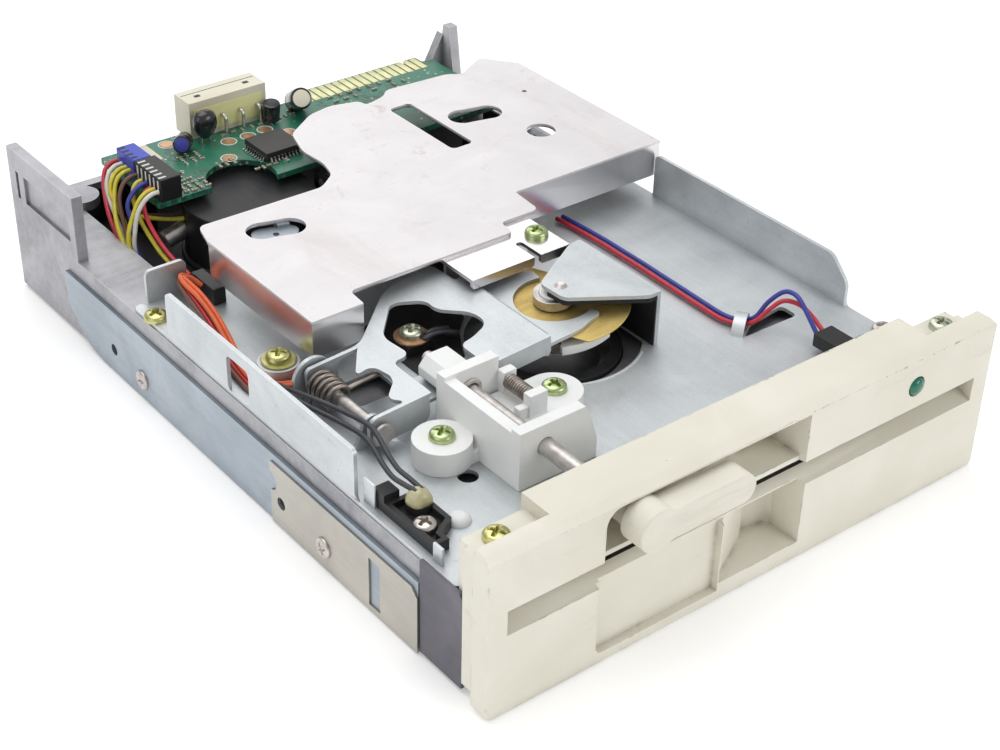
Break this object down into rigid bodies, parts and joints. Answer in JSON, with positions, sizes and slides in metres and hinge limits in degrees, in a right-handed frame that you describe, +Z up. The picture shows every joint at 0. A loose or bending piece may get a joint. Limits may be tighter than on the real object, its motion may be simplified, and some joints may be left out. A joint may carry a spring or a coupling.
{
  "type": "floppy disk drive",
  "caption": "Half-height flexible disk drive with its top cover off: bezel with turning lever, clamp arm and hub, spindle, stepped head carriage, deck, shield and circuit board.",
  "frame": {"origin": "middle of the drive's lower face: middle of the width and of the length over lever and casting, on the plane of the rails' lower edges", "axes": "+X to the right seen from the front, +Y to the rear, +Z up"},
  "size_m": [0.149, 0.2168, 0.0438],
  "materials": {
    "cast_alloy": "cast, matt",
    "galvanised": "galvanised, pale blue grey",
    "dark_steel": "dark satin",
    "zinc_leaf": "satin zinc",
    "silver_screw": "zinc plated",
    "yellow_screw": "yellow chromate",
    "green_screw": "green yellow chromate",
    "bright_steel": "ground",
    "bright_aluminium": "bright, lightly scratched",
    "spring_steel": "wire",
    "brass": "satin",
    "ivory": "moulded, fine grain, lightly soiled",
    "nylon": "moulded, slightly waxy",
    "white_plastic": "moulded",
    "black_plastic": "moulded",
    "blue_plastic": "moulded",
    "small_parts": "ceramic",
    "index_sensor": "moulded",
    "board_green": "solder resist",
    "gold": "gold plated",
    "green_lens": "tinted lens",
    "glue": "hardened drop",
    "lead_red": "insulation",
    "lead_grey": "insulation",
    "lead_orange": "insulation"
  },
  "bodies": {
    "chassis": {"base_frame": "cast_alloy", "side_rail_left": "galvanised", "side_rail_right": "galvanised", "side_plates": "dark_steel", "ground_leaf": "zinc_leaf", "rail_screws": "silver_screw", "deck_plate": "galvanised", "deck_screws": "yellow_screw", "silver_screws": "silver_screw", "stop_rivet": "silver_screw", "front_bezel": "ivory", "bezel_screws": "yellow_screw", "lever_bracket": "nylon", "lever_spring": "spring_steel", "bracket_screws": "green_screw", "arm_axle": "bright_steel", "spindle_bearing": "brass", "motor_stator": "board_green", "shield_plate": "bright_aluminium", "shield_bracket": "bright_aluminium", "shield_screw": "green_screw", "circuit_board": "board_green", "edge_contacts": "gold", "power_connector": "white_plastic", "power_pins": "silver_screw", "plug_header": "blue_plastic", "motor_plug": "black_plastic", "chip": "black_plastic", "capacitors": "black_plastic", "small_parts": "small_parts", "stepper_motor": "dark_steel", "guide_rods": "bright_steel", "rod_clamps": "cast_alloy", "track_sensor": "black_plastic", "sensor_housing": "black_plastic", "sensor_glue": "glue", "index_sensor": "index_sensor", "led": "green_lens", "led_plug": "black_plastic", "led_leads": "lead_red", "sensor_leads": "lead_grey", "harness_block": "black_plastic", "board_harness": "lead_orange"},
    "lever": {"lever": "ivory", "lever_shaft": "bright_steel", "lever_cam": "nylon"},
    "clamp_arm": {"clamp_arm": "galvanised", "arm_spring": "spring_steel", "hub_leaf": "brass", "hub_collar": "bright_steel"},
    "clamp_hub": {"clamp_hub": "nylon"},
    "spindle": {"spindle": "bright_steel", "motor_rotor": "dark_steel"},
    "head_carriage": {"head_carriage": "black_plastic", "head_lower": "white_plastic", "head_band": "bright_steel"},
    "upper_head_arm": {"upper_head_arm": "cast_alloy", "head_upper": "white_plastic"},
    "stepper_pulley": {"stepper_pulley": "brass"}
  },
  "joints": [
    {"name": "lever_turn", "type": "hinge", "parent": "chassis", "child": "lever", "pos_m": [-0.035, -0.0986, 0.0342], "axis": [0, 1, 0], "range_deg": [0, 90]},
    {"name": "arm_tilt", "type": "hinge", "parent": "chassis", "child": "clamp_arm", "pos_m": [-0.0572, -0.03, 0.03], "axis": [0, 1, 0], "range_deg": [0, 6.8]},
    {"name": "hub_spin", "type": "hinge", "parent": "clamp_arm", "child": "clamp_hub", "pos_m": [0.00378, -0.02765, 0.03123], "axis": [-0.1184, 0, 0.993], "continuous": true},
    {"name": "spindle_spin", "type": "hinge", "parent": "chassis", "child": "spindle", "pos_m": [0.0035, -0.02765, 0.0227], "axis": [0, 0, 1], "continuous": true},
    {"name": "head_slide", "type": "slide", "parent": "chassis", "child": "head_carriage", "axis": [0, -1, 0], "range_m": [0, 0.0206]},
    {"name": "stepper_spin", "type": "hinge", "parent": "chassis", "child": "stepper_pulley", "pos_m": [-0.022, 0.06935, 0.007], "axis": [0, 0, -1], "range_deg": [0, 138]},
    {"name": "head_lift", "type": "hinge", "parent": "head_carriage", "child": "upper_head_arm", "pos_m": [0.0035, 0.06585, 0.0276], "axis": [1, 0, 0], "range_deg": [0, 2.5]}
  ],
  "couplings": [
    {"joint": "arm_tilt", "follows": "lever_turn", "ratio": 0.075556},
    {"joint": "head_lift", "follows": "lever_turn", "ratio": 0.027778},
    {"joint": "stepper_spin", "follows": "head_slide", "rad_per_m": 116.69}
  ]
}
